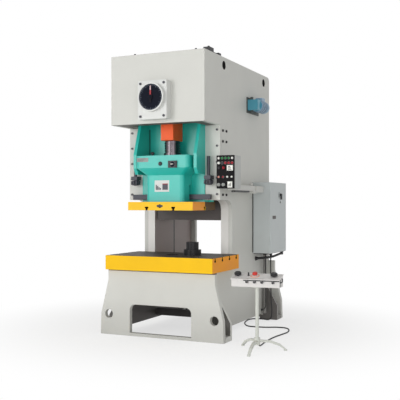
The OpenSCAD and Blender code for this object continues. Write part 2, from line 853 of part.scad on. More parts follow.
// The control box with its lamps, small buttons and knobs
module control_box() {
    color([0.2, 0.2, 0.21]) put() translate([box_x, box_y, box_low]) difference() {
        union() {
            along_y(round_rect(0, 0, box_w, box_h, 8, 3), 0, box_d);
            for (x = panel_x) bar_y(x, panel_z[0], 13, -9, 1);
            for (i = [0:3]) bar_y(panel_x[0] + i * box_w * 0.238, panel_z[3], 11, -9, 1);
            for (i = [0:1]) bar_y(panel_x[0] + i * box_w * 0.256, panel_z[4], 19, -14, 1);
            block([box_w * 0.564, -4, panel_z[2] - 36], [box_w * 0.916, 1, panel_z[2] + 34]);
            block([box_w * 0.6, -3, panel_z[4] - 38], [box_w * 0.881, 1, panel_z[4] + 40]);
        }
        for (x = panel_x) bar_y(x, panel_z[1], button_r + 0.4, -2, 14);
    }
}

// One push button of the second row
module panel_button(i, tint) {
    color(tint) put() translate([box_x, box_y, box_low])
        bar_y(panel_x[i], panel_z[1], button_r, -12, 8);
}

module panel_button_1() {
    panel_button(0, [0.9, 0.9, 0.88]);
}

module panel_button_2() {
    panel_button(1, [0.25, 0.25, 0.27]);
}

module panel_button_3() {
    panel_button(2, [0.8, 0.15, 0.12]);
}

module panel_button_4() {
    panel_button(3, [0.8, 0.15, 0.12]);
}

module panel_button_5() {
    panel_button(4, [0.8, 0.15, 0.12]);
}

// One selector with its handle bar, turned on the panel
module selector(x, tint) {
    color(tint) put() translate([box_x + x, box_y, box_low + panel_z[2]]) {
        bar_y(0, 0, 15, -12, -0.3);
        block([-5, -24, -15], [5, -11, 15]);
    }
}

module selector_1() {
    selector(box_w * 0.15, [0.25, 0.25, 0.27]);
}

module selector_2() {
    selector(box_w * 0.4, [0.6, 0.15, 0.12]);
}

// The cabinet's door with its two hinge barrels
module cabinet_door() {
    color([0.66, 0.69, 0.7]) put() {
        block([cab_x - door_t, cab_y, cab_low], [cab_x, cab_back, cab_low + cab_h]);
        for (z = [cab_low + 110, cab_low + cab_h - 190]) bar_z(cab_x, cab_y, 9, z, z + 80);
    }
}

// The swing handle on the door
module door_handle() {
    color([0.07, 0.07, 0.08]) put() translate([cab_x, handle_y, handle_z]) {
        bar_x_axis(0, 0, 19, 0.3, 12);
        block([8, -12, -64], [26, 12, 14]);
    }
}

// Moves a sub-part to the stand's post and turns it with the console
module at_stand() {
    put() translate([stand_x, stand_y, 0]) rotate(stand_turn) children();
}

// The stand: three arched legs, the hub and the post
module stand() {
    color([0.8, 0.82, 0.78]) put() translate([stand_x, stand_y, 0]) {
        bar_z(0, 0, 19, hub_z - 40, console_low);
        bar_z(0, 0, 34, hub_z - 45, hub_z + 30);
        bar_z(0, 0, 60, console_low - 10, console_low);
        for (a = leg_turn) rotate(a) leg();
    }
}

// One leg: a flat bar that drops in three straight runs to a round foot
module leg() {
    near = leg_r * 0.45;
    far = leg_r * 0.8;
    rotate([90, 0, 0]) translate([0, 0, -15]) linear_extrude(30) polygon([
        [20, hub_z + 8], [near, hub_z + 2], [far, hub_z - 38], [leg_r + 8, 12],
        [leg_r - 16, 12], [far - 14, hub_z - 56], [near - 6, hub_z - 22], [20, hub_z - 16]]);
    translate([leg_r - 4, 0, 0]) cylinder(r = 18, h = 13);
}

// Moves a sub-part to the middle of the console's sloped top
module on_console() {
    at_stand() translate([0, 0, console_top]) rotate([console_tilt, 0, 0]) children();
}

// The console: a box with a sloped lid, four knobs and a toggle
module stand_console() {
    w = console_w / 2;
    d = console_d / 2;
    rise = d * tan(console_tilt);
    knob_z = console_low + console_h * 0.62;
    color([0.88, 0.87, 0.86]) difference() {
        union() {
            at_stand() {
                along_x([[-d, console_low], [d, console_low], [d, console_top + rise - 2],
                    [-d, console_top - rise - 2]], -w, w);
                for (x = [-0.171, -0.011, 0.142, 0.372])
                    bar_y(x * console_w, knob_z, 14, -d - 22, -d + 1);
                bar_y(console_w * -0.387, knob_z, 9, -d - 6, -d + 1);
            }
            on_console() {
                block([-w - 6, -d - 14, -10], [w + 6, d + 6, 0]);
                bar_z(console_w * -0.182, 10, 8, -1, 34);
                bar_z(stop_at, 0, 36, -1, 12);
            }
        }
        on_console() {
            for (x = [palm_left_x, palm_right_x]) bar_z(x, 0, 16, -34, 1);
            bar_z(stop_at, 0, 12.5, -24, 13);
        }
    }
}

// One palm button: a wide cap on a stem
module palm_button(x) {
    color([0.13, 0.13, 0.14]) on_console() translate([x, 0, 0]) {
        bar_z(0, 0, 15.5, -22, 14);
        bar_z(0, 0, 38, 13, 34);
        bar_z(0, 0, 30, 33, 42);
    }
}

module palm_button_left() {
    palm_button(palm_left_x);
}

module palm_button_right() {
    palm_button(palm_right_x);
}

// The red stop button of the console
module stand_stop() {
    color([0.8, 0.12, 0.1]) on_console() translate([stop_at, 0, 0]) {
        bar_z(0, 0, 12, -14, 22);
        bar_z(0, 0, 28, 20, 38);
        bar_z(0, 0, 22, 37, 44);
    }
}

// A smooth point between two route points
function spline(a, b, c, d, t) =
    0.5 * (2 * b + (c - a) * t + (2 * a - 5 * b + 4 * c - d) * t * t
        + (3 * b - a - 3 * c + d) * t * t * t);

last = len(cord_path) - 1;
function at(i) = cord_path[min(max(i, 0), last)];

// Keeps a point of the cord on the floor
function lift(p) = [p.x, p.y, max(p.z, cord_z)];

// Every ring's centre along the cord
cord_line = concat(
    [for (i = [0:last - 1])
        for (k = [0:cord_steps - 1])
            lift(spline(at(i - 1), at(i), at(i + 1), at(i + 2), k / cord_steps))],
    [cord_path[last]]);
rings = len(cord_line);
function unit(v) = v / norm(v);
function tangent(i) = unit(cord_line[min(i + 1, rings - 1)] - cord_line[max(i - 1, 0)]);
function sideways(t) = norm(cross([0, 0, 1], t)) < 0.01 ? unit([-20, 5, 0]) : unit(cross([0, 0, 1], t));

sides = 8;

// The cord as one tube
module cord() {
    points = [
        for (i = [0:rings - 1])
            let (t = tangent(i), u = sideways(t), v = cross(t, u))
                for (k = [0:sides - 1])
                    cord_line[i] + cord_d / 2 * (cos(360 * k / sides) * u + sin(360 * k / sides) * v)];
    walls = [
        for (i = [0:rings - 2])
            for (k = [0:sides - 1])
                let (a = i * sides + k, b = i * sides + (k + 1) % sides)
                    each [[a, b, a + sides], [b, b + sides, a + sides]]];
    first = [for (k = [1:sides - 2]) [0, k + 1, k]];
    end = (rings - 1) * sides;
    final = [for (k = [1:sides - 2]) [end, end + k, end + k + 1]];
    color([0.1, 0.1, 0.1]) put() polyhedron(points, concat(walls, first, final), convexity = 10);
}

side_plate_left();
side_plate_right();
crown_front_plate();
crown_roof();
crown_floor();
bearing_plates();
rear_cover();
rear_posts();
columns();
cross_beam();
bed_plate();
base_front_plate();
base_rear_plate();
front_feet();
rear_feet();
base_tie();
bolster();
gib_left();
gib_right();
gib_bolts();
dial_plate();
air_valve();
pump_motor();
pump_bracket();
cabinet();
cabinet_gear();
conduit();
arm_bracket();
stop_brackets();
main_motor();
v_belts();
stand();
stand_console();
cord();
die_block();
slide();
slide_plate();
connecting_rod();
adjusting_screw();
knockout_bar();
stop_screw_left();
stop_screw_right();
crankshaft();
dial_pointer();
flywheel();
motor_pulley();
control_arm();
control_box();
cabinet_door();
door_handle();
palm_button_left();
palm_button_right();
stand_stop();
panel_button_1();
panel_button_2();
panel_button_3();
panel_button_4();
panel_button_5();
selector_1();
selector_2();
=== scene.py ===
"""Looks of the C-frame press: paint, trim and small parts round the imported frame."""

import math

import bmesh
import bpy
from mathutils import Matrix, Vector


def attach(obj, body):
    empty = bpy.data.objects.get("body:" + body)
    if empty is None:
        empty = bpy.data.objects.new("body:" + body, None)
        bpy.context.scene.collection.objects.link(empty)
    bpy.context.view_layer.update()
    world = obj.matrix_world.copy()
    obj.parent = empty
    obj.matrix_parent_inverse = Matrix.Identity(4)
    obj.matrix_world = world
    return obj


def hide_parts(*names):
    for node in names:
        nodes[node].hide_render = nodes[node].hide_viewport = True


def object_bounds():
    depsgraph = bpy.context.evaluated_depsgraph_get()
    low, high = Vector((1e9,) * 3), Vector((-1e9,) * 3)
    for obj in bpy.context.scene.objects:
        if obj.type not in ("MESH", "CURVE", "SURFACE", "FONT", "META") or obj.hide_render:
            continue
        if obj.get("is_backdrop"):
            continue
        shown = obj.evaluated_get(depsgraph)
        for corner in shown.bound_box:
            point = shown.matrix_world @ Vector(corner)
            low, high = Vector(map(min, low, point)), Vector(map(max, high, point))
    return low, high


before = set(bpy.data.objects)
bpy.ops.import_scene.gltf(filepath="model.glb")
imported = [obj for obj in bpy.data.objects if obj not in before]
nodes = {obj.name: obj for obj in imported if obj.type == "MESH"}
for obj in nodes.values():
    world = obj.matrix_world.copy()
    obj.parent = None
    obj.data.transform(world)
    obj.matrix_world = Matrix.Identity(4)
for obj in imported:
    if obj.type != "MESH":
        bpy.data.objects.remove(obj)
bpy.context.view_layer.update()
scene = bpy.context.scene

# Points are given as in the part's source: in millimetres, about the slide axis.
SHIFT = 715.5
MM = 1000

RIGHT, LEFT = (1, 0, 0), (-1, 0, 0)
FRONT, REAR = (0, -1, 0), (0, 1, 0)
UP, DOWN = (0, 0, 1), (0, 0, -1)

# Places on the solids that the small parts sit on
HALF = 610
SEAT_X = HALF - 0.5
BACK_Y = 1764
BOSS_Y, STEP_Y, SLIDE_PLATE_Y = -220, -290, -335
CABINET_LOW = 924
DOOR_X = 855
ARM_LOW = 1731
STAND_Y = -520
GLAND_X, GLAND_Y = 760, 1400


def at(x, y, z):
    """A point of the part's source, in the row frame and in metres."""
    return Vector((x / MM, (y - SHIFT) / MM, z / MM))


def tone(r, g, b):
    """A colour from its screen values, 0 to 255."""
    made = []
    for v in (r, g, b):
        c = v / 255
        made.append(c / 12.92 if c <= 0.04045 else ((c + 0.055) / 1.055) ** 2.4)
    return (*made, 1.0)


# Shader nodes


def scaled(color, k):
    return tuple(min(1.0, c * k) for c in color[:3]) + (1.0,)


def calc(tree, operation, a, b=None):
    """A math node on sockets or plain numbers."""
    n = tree.nodes.new("ShaderNodeMath")
    n.operation = operation
    for i, v in enumerate((a, b)):
        if isinstance(v, (int, float)):
            n.inputs[i].default_value = v
        elif v is not None:
            tree.links.new(v, n.inputs[i])
    return n.outputs["Value"]


def vector(tree, operation, a, b):
    """A vector math node on a socket and a plain vector."""
    n = tree.nodes.new("ShaderNodeVectorMath")
    n.operation = operation
    tree.links.new(a, n.inputs[0])
    n.inputs[1].default_value = b
    return n.outputs["Value" if operation == "DOT_PRODUCT" else "Vector"]


def parts_of(tree, socket):
    """The x, y and z of a vector socket."""
    n = tree.nodes.new("ShaderNodeSeparateXYZ")
    tree.links.new(socket, n.inputs["Vector"])
    return n.outputs["X"], n.outputs["Y"], n.outputs["Z"]


# Masks: each makes nodes that are 1 on a zone of a piece, from its own place and normal


def looking(direction, limit=0.6):
    """Marks the faces that look along a direction."""
    def mask(tree, place, normal):
        along = vector(tree, "DOT_PRODUCT", normal, direction)
        return calc(tree, "GREATER_THAN", along, limit)
    return mask


def inward(tree, place, normal):
    """Marks the faces that look across to the middle of the press."""
    product = calc(tree, "MULTIPLY", parts_of(tree, place)[0], parts_of(tree, normal)[0])
    return calc(tree, "LESS_THAN", product, -0.2)


def above(z):
    """Marks what is higher than z."""
    def mask(tree, place, normal):
        return calc(tree, "GREATER_THAN", parts_of(tree, place)[2], z / MM)
    return mask


def below(z):
    """Marks what is lower than z."""
    def mask(tree, place, normal):
        return calc(tree, "LESS_THAN", parts_of(tree, place)[2], z / MM)
    return mask


def behind(y):
    """Marks what is farther back than y."""
    def mask(tree, place, normal):
        return calc(tree, "GREATER_THAN", parts_of(tree, place)[1], (y - SHIFT) / MM)
    return mask


def both(one, other):
    """Marks what two masks mark together."""
    def mask(tree, place, normal):
        return calc(tree, "MULTIPLY", one(tree, place, normal), other(tree, place, normal))
    return mask


def shade_between_fins(first, pitch, top):
    """Marks the gaps between the fins of the pump motor, below its terminal box, for painted
    shade.
    """
    def mask(tree, place, normal):
        _, y, z = parts_of(tree, place)
        past = calc(tree, "SUBTRACT", y, (first - SHIFT) / MM)
        along = calc(tree, "DIVIDE", past, pitch / MM)
        gap = calc(tree, "GREATER_THAN", calc(tree, "FRACT", along), 0.5)
        low = calc(tree, "LESS_THAN", z, top / MM)
        on_barrel = calc(tree, "MULTIPLY", low, calc(tree, "GREATER_THAN", along, 0.0))
        return calc(tree, "MULTIPLY", gap, on_barrel)
    return mask


def within(lo, hi):
    """Marks what lies in a box."""
    lo, hi = at(*lo), at(*hi)
    middle, deep = (lo + hi) / 2, (hi - lo) / 2

    def mask(tree, place, normal):
        off = parts_of(tree, vector(tree, "SUBTRACT", place, middle))
        found = None
        for part, limit in zip(off, deep):
            step = calc(tree, "LESS_THAN", calc(tree, "ABSOLUTE", part), limit)
            found = step if found is None else calc(tree, "MULTIPLY", found, step)
        return found
    return mask


def mirrored(lo, hi):
    """A mask for a box on the right, and one for the same box on the left."""
    return within(lo, hi), within((-hi[0], lo[1], lo[2]), (-lo[0], hi[1], hi[2]))


# Materials
SOIL = tone(95, 92, 86)
SOIL_TOP = 0.45
GLOSS_SPREAD = 0.08
ZONE_SPREAD = 0.15


def surface(name, color, rough=0.45, metal=0.0, vary=0.05, scale=3.0, bump=0.03, grain=220.0,
            stretch=(1, 1, 1), coat=0.0, coat_rough=0.2, spec=0.5, soil=0.0, zones=()):
    """Paint, metal or plastic with cloudy colour, uneven gloss and a fine grain.
    soil darkens it near the floor, and zones are masks with another colour each."""
    m = bpy.data.materials.new(name)
    m.use_nodes = True
    tree = m.node_tree
    shader = tree.nodes["Principled BSDF"]
    new, link = tree.nodes.new, tree.links.new
    coords = new("ShaderNodeTexCoord")
    place = new("ShaderNodeMapping")
    place.inputs["Scale"].default_value = stretch
    link(coords.outputs["Object"], place.inputs["Vector"])

    cloud = new("ShaderNodeTexNoise")
    cloud.inputs["Scale"].default_value = scale
    cloud.inputs["Detail"].default_value = 5.0
    cloud.inputs["Roughness"].default_value = 0.6
    link(place.outputs["Vector"], cloud.inputs["Vector"])
    ramp = new("ShaderNodeValToRGB")
    ramp.color_ramp.elements[0].position = 0.32
    ramp.color_ramp.elements[1].position = 0.68
    ramp.color_ramp.elements[0].color = scaled(color, 1 - vary)
    ramp.color_ramp.elements[1].color = scaled(color, 1 + vary)
    link(cloud.outputs["Fac"], ramp.inputs["Fac"])
    out = ramp.outputs["Color"]

    for mask, other in zones:
        streak = new("ShaderNodeValToRGB")
        streak.color_ramp.elements[0].color = scaled(other, 1 - ZONE_SPREAD)
        streak.color_ramp.elements[1].color = scaled(other, 1 + ZONE_SPREAD)
        link(cloud.outputs["Fac"], streak.inputs["Fac"])
        mix = new("ShaderNodeMix")
        mix.data_type = "RGBA"
        marked = mask(tree, coords.outputs["Object"], coords.outputs["Normal"])
        link(marked, mix.inputs["Factor"])
        link(out, mix.inputs["A"])
        link(streak.outputs["Color"], mix.inputs["B"])
        out = mix.outputs["Result"]

    if soil > 0:
        low = new("ShaderNodeMapRange")
        low.inputs["From Min"].default_value = 0.0
        low.inputs["From Max"].default_value = SOIL_TOP
        low.inputs["To Min"].default_value = soil
        low.inputs["To Max"].default_value = 0.0
        link(parts_of(tree, coords.outputs["Object"])[2], low.inputs["Value"])
        dirt = new("ShaderNodeMix")
        dirt.data_type = "RGBA"
        dirt.inputs["B"].default_value = SOIL
        share = calc(tree, "MULTIPLY", low.outputs["Result"], cloud.outputs["Fac"])
        link(share, dirt.inputs["Factor"])
        link(out, dirt.inputs["A"])
        out = dirt.outputs["Result"]
    link(out, shader.inputs["Base Color"])

    gloss = new("ShaderNodeMapRange")
    gloss.inputs["To Min"].default_value = max(0.05, rough - GLOSS_SPREAD)
    gloss.inputs["To Max"].default_value = min(1.0, rough + GLOSS_SPREAD)
    link(cloud.outputs["Fac"], gloss.inputs["Value"])
    link(gloss.outputs["Result"], shader.inputs["Roughness"])

    fine = new("ShaderNodeTexNoise")
    fine.inputs["Scale"].default_value = grain
    fine.inputs["Detail"].default_value = 2.0
    link(place.outputs["Vector"], fine.inputs["Vector"])
    relief = new("ShaderNodeBump")
    relief.inputs["Strength"].default_value = bump
    relief.inputs["Distance"].default_value = 0.002
    link(fine.outputs["Fac"], relief.inputs["Height"])
    link(relief.outputs["Normal"], shader.inputs["Normal"])

    shader.inputs["Metallic"].default_value = metal
    shader.inputs["Coat Weight"].default_value = coat
    shader.inputs["Coat Roughness"].default_value = coat_rough
    shader.inputs["Specular IOR Level"].default_value = spec
    return m


# Colours and zones that several paints share
IVORY = tone(210, 210, 204)
YELLOW = tone(252, 198, 16)
# Near black: painted shade inside the lifting holes, and the own black of the side screws
HOLE_SHADE_AND_BLACK_SCREWS = tone(34, 32, 32)
# Near black: painted shade inside the T-slots and the bore
SLOT_SHADE = tone(40, 36, 34)
# Painted shade on the inner faces of the side plates and columns, in the throat
THROAT_SHADE = tone(176, 163, 159)
# Painted shade in the pockets beside the gussets of the front feet
FOOT_POCKET_SHADE = tone(92, 90, 87)
flat_down, flat_up = looking(DOWN, 0.9), looking(UP, 0.9)
# Painted shade on the downward faces of the crown
CROWN_UNDERSIDE_SHADE = (flat_down, tone(92, 88, 84))

# The frame
# Painted shade on the inner walls of the base
base_inside_shade = both(inward, both(below(700), behind(-60)))
# Painted shade of a gap between column and rear post, on the flat inner wall
throat_gap_shade = both(inward, within((-620, 1084, 900), (620, 1166, 1700)))
# Painted shade inside the lifting holes through the side plates
front_lifting_hole_shade = within((-608.5, 94, 3166), (608.5, 202, 3274))
rear_lifting_hole_shade = within((-608.5, 1482, 3162), (608.5, 1590, 3270))
foot_pocket_shades = mirrored((600, -280, 0), (625, -140, 470))
ivory = surface("ivory_paint", IVORY, rough=0.5, vary=0.03, scale=1.6, soil=0.5)
crown_paint = surface("crown_paint", IVORY, rough=0.5, vary=0.03, scale=1.6,
                      zones=[CROWN_UNDERSIDE_SHADE])
inner = surface("inner_paint", tone(150, 146, 140), rough=0.6, vary=0.06, scale=2.0,
                zones=[CROWN_UNDERSIDE_SHADE])
# Side plates: painted shade on their inner faces, inside the base, in a gap in the throat, in
# the lifting holes and in the foot pockets
wall = surface("wall_paint", IVORY, rough=0.5, vary=0.03, scale=1.6, soil=0.5,
               zones=[(inward, THROAT_SHADE), (base_inside_shade, tone(84, 80, 78)),
                      (throat_gap_shade, tone(62, 58, 57)),
                      (front_lifting_hole_shade, HOLE_SHADE_AND_BLACK_SCREWS), (rear_lifting_hole_shade, HOLE_SHADE_AND_BLACK_SCREWS),
                      *[(pocket, FOOT_POCKET_SHADE) for pocket in foot_pocket_shades]])
# A lighter copy of the frame's ivory: painted light on the columns, with painted shade on their
# inner faces
lit_column_paint = surface("lit_column_paint", tone(234, 232, 227), rough=0.5, vary=0.03, scale=1.6,
                       zones=[(inward, THROAT_SHADE)])
# Painted shadow under the bolster along the top of the base
base_paint = surface("base_paint", IVORY, rough=0.5, vary=0.03, scale=1.6, soil=0.5,
                     zones=[(above(770), tone(98, 88, 74))])
# Dark grey with a near-black underside: painted shade inside the base
bed_shade_paint = surface("bed_shade_paint", tone(110, 106, 102), rough=0.65, vary=0.06, scale=2.0,
                    zones=[(flat_down, tone(46, 44, 43))])
# Near black: painted shade on the tie deep inside the base
tie_shade_paint = surface("tie_shade_paint", tone(52, 49, 48), rough=0.65, vary=0.1, scale=3.0)
# Darker front faces: painted shade on the front feet
front_foot = surface("front_foot_paint", IVORY, rough=0.5, vary=0.03, scale=1.6,
                     zones=[(looking(FRONT), tone(104, 102, 98))])
# Darker grey with darker fronts: painted shade on the rear feet
feet = surface("foot_paint", tone(140, 138, 134), rough=0.6, vary=0.1, scale=5.0,
               zones=[(looking(FRONT), tone(104, 101, 98))])
# Dark paint: painted shade on the cross beam in the throat, and the own dark colour of the door
# plate and the seam on the lid
shade = surface("dark_paint", tone(92, 86, 84), rough=0.65, vary=0.1, scale=3.0)

# The bolster and the slide plate, with painted shade on their end faces: more orange, and
# darker still where the slide plate runs under the guides
ends = (looking(RIGHT), looking(LEFT))
ORANGE_END_SHADE = [(end, tone(255, 158, 26)) for end in ends]
SHADED_ENDS = [(both(end, behind(8)), tone(84, 60, 24)) for end in ends]
# Painted shade inside the slots of the slide plate, and inside the slots and bore of the
# bolster
slide_plate_core = within((-417, -327, 1490), (417, 300, 1600))
bolster_core = within((-696.5, -396.5, 789), (696.5, 396.5, 960))
yellow = surface("yellow_paint", YELLOW, rough=0.42, vary=0.04, scale=2.2, coat=0.1, spec=0.2,
                 zones=[*ORANGE_END_SHADE, *SHADED_ENDS, (slide_plate_core, SLOT_SHADE),
                        (flat_down, tone(126, 122, 120))])
bolster_paint = surface("bolster_paint", YELLOW, rough=0.5, vary=0.04, scale=2.2, spec=0.2,
                        zones=[*ORANGE_END_SHADE, (bolster_core, SLOT_SHADE),
                               (flat_up, tone(76, 70, 64))])

# The slide, the pump motor, the arm, the cabinet and the stand
green = surface("green_paint", tone(34, 188, 174), rough=0.36, vary=0.05, scale=2.4, bump=0.08,
                grain=90.0, coat=0.35, coat_rough=0.25, spec=0.4)
# Dark green for painted shade in the slide's inside corners
green_corner_shade = surface("green_corner_shade", tone(20, 84, 78), rough=0.6, vary=0.08, scale=4.0)
orange = surface("orange_paint", tone(255, 98, 36), rough=0.55, vary=0.06, scale=4.0)
blue = surface("blue_paint", tone(72, 148, 172), rough=0.42, vary=0.06, scale=5.0, coat=0.1)
# Teal box, paler finned barrel, and painted shade in the gaps between the fins
pump_blue = surface("pump_paint", tone(72, 152, 174), rough=0.4, vary=0.06, scale=5.0, coat=0.2,
                    zones=[(behind(1010), tone(138, 168, 192)),
                           (shade_between_fins(first=1030, pitch=24, top=2900), tone(54, 74, 92))])
pale_blue = surface("pale_blue_paint", tone(150, 184, 198), rough=0.42, vary=0.05, scale=6.0)
bracket_dark = surface("bracket_paint", tone(78, 84, 82), rough=0.55, vary=0.08, scale=6.0)
arm_paint = surface("arm_paint", tone(204, 204, 199), rough=0.5, vary=0.03, scale=3.0)
cabinet_grey = surface("cabinet_paint", tone(200, 206, 206), rough=0.5, vary=0.03, scale=3.0,
                       bump=0.06, grain=300.0)
stand_white = surface("stand_paint", tone(212, 214, 206), rough=0.45, vary=0.03, scale=5.0)
console_white = surface("console_paint", tone(226, 223, 220), rough=0.45, vary=0.03, scale=5.0)
collar_paint = surface("collar_paint", tone(226, 176, 156), rough=0.45, vary=0.05, scale=9.0)
conduit_paint = surface("conduit_paint", tone(38, 38, 41), rough=0.5, vary=0.1, scale=9.0,
                        zones=[(below(882), tone(136, 134, 131))])

# Metals
side_screws = mirrored((609, 60, 1600), (640, 260, 2500))
steel = surface("machined_steel", tone(170, 170, 174), rough=0.32, metal=1.0, vary=0.08,
                scale=6.0, stretch=(1, 1, 6), bump=0.05, grain=160.0)
bright = surface("rim_steel", tone(84, 82, 84), rough=0.5, metal=0.5, vary=0.06, scale=9.0)
screw_steel = surface("screw_steel", tone(92, 86, 90), rough=0.2, metal=0.9, vary=0.12,
                      scale=8.0)
bolt_steel = surface("bolt_steel", tone(112, 110, 112), rough=0.45, metal=0.4, vary=0.1,
                     scale=8.0, zones=[(screws, HOLE_SHADE_AND_BLACK_SCREWS) for screws in side_screws])
cast = surface("cast_iron", tone(112, 112, 116), rough=0.55, metal=0.6, vary=0.12, scale=7.0,
               bump=0.15, grain=120.0)
black_steel = surface("black_steel", tone(58, 58, 66), rough=0.42, metal=0.3, vary=0.12,
                      scale=8.0)
die_black = surface("die_steel", tone(30, 29, 31), rough=0.35, metal=0.3, vary=0.15, scale=9.0,
                    spec=0.3)

# The dial, with a pointer that is dark, then red, then pale towards its tip
dial_white = surface("dial_white", tone(216, 217, 214), rough=0.4, vary=0.02, scale=5.0)
dial_black = surface("dial_black", tone(22, 25, 36), rough=0.75, vary=0.1, scale=9.0, spec=0.1)
red = surface("red_paint", tone(26, 24, 32), rough=0.55, vary=0.05, scale=9.0, spec=0.1,
              zones=[(above(2813), tone(176, 70, 76)), (above(2868), tone(214, 186, 190))])
faint = surface("scale_paint", tone(84, 92, 108), rough=0.4, vary=0.05, scale=9.0)

# Plastics and rubber
black = surface("black_plastic", tone(38, 38, 41), rough=0.5, vary=0.1, scale=9.0, bump=0.06,
                grain=400.0)
panel_black = surface("panel_plastic", tone(196, 198, 195), rough=0.5, vary=0.05, scale=9.0,
                      bump=0.06, grain=400.0, spec=0.1,
                      zones=[(looking(FRONT), tone(17, 15, 17))])
red_plastic = surface("red_plastic", tone(158, 24, 40), rough=0.4, vary=0.05, scale=12.0,
                      spec=0.2)
stop_red = surface("stop_red", tone(214, 62, 54), rough=0.35, vary=0.05, scale=12.0)
white_plastic = surface("white_plastic", tone(232, 232, 224), rough=0.3, vary=0.03, scale=12.0)
green_plastic = surface("green_plastic", tone(42, 128, 70), rough=0.4, vary=0.06, scale=12.0,
                        spec=0.2)
amber_plastic = surface("amber_plastic", tone(226, 150, 130), rough=0.3, vary=0.06, scale=12.0)
grey_plastic = surface("grey_plastic", tone(150, 152, 148), rough=0.5, vary=0.06, scale=9.0)
rubber = surface("black_rubber", tone(34, 34, 35), rough=0.65, vary=0.15, scale=14.0, bump=0.08)

looks = {
    "side_plate_left": wall, "side_plate_right": wall, "crown_front_plate": crown_paint,
    "crown_roof": ivory, "crown_floor": inner, "bearing_plates": inner, "rear_cover": ivory,
    "columns": lit_column_paint, "rear_posts": ivory, "cross_beam": shade, "bed_plate": bed_shade_paint,
    "base_front_plate": base_paint, "base_rear_plate": ivory, "base_tie": tie_shade_paint,
    "front_feet": front_foot, "rear_feet": feet, "bolster": bolster_paint,
    "gib_left": ivory, "gib_right": ivory, "gib_bolts": bolt_steel, "air_valve": black,
    "slide": green, "slide_plate": yellow, "connecting_rod": orange,
    "adjusting_screw": screw_steel, "knockout_bar": black_steel, "die_block": die_black,
    "stop_brackets": black_steel, "stop_screw_left": black_steel,
    "stop_screw_right": black_steel, "dial_plate": dial_white, "dial_pointer": red,
    "crankshaft": steel, "flywheel": cast, "motor_pulley": cast, "v_belts": rubber,
    "main_motor": blue, "pump_motor": pump_blue, "pump_bracket": bracket_dark,
    "cabinet": cabinet_grey, "cabinet_door": cabinet_grey, "cabinet_gear": grey_plastic,
    "door_handle": black, "conduit": conduit_paint, "arm_bracket": arm_paint,
    "control_arm": arm_paint, "control_box": panel_black, "panel_button_1": white_plastic,
    "panel_button_2": black, "panel_button_3": red_plastic, "panel_button_4": red_plastic,
    "panel_button_5": red_plastic, "selector_1": black, "selector_2": red_plastic,
    "stand": stand_white, "stand_console": console_white, "palm_button_left": black,
    "palm_button_right": black, "stand_stop": stop_red, "cord": rubber,
}
for name, look in looks.items():
    mesh = nodes[name].data
    mesh.materials.clear()
    mesh.materials.append(look)


# Small parts


def round_off(o, width, angle):
    """Rounds the edges of an object that are sharper than an angle."""
    bevel = o.modifiers.new("edges", "BEVEL")
    bevel.width = width / MM
    bevel.segments = 2
    bevel.limit_method = "ANGLE"
    bevel.angle_limit = math.radians(angle)


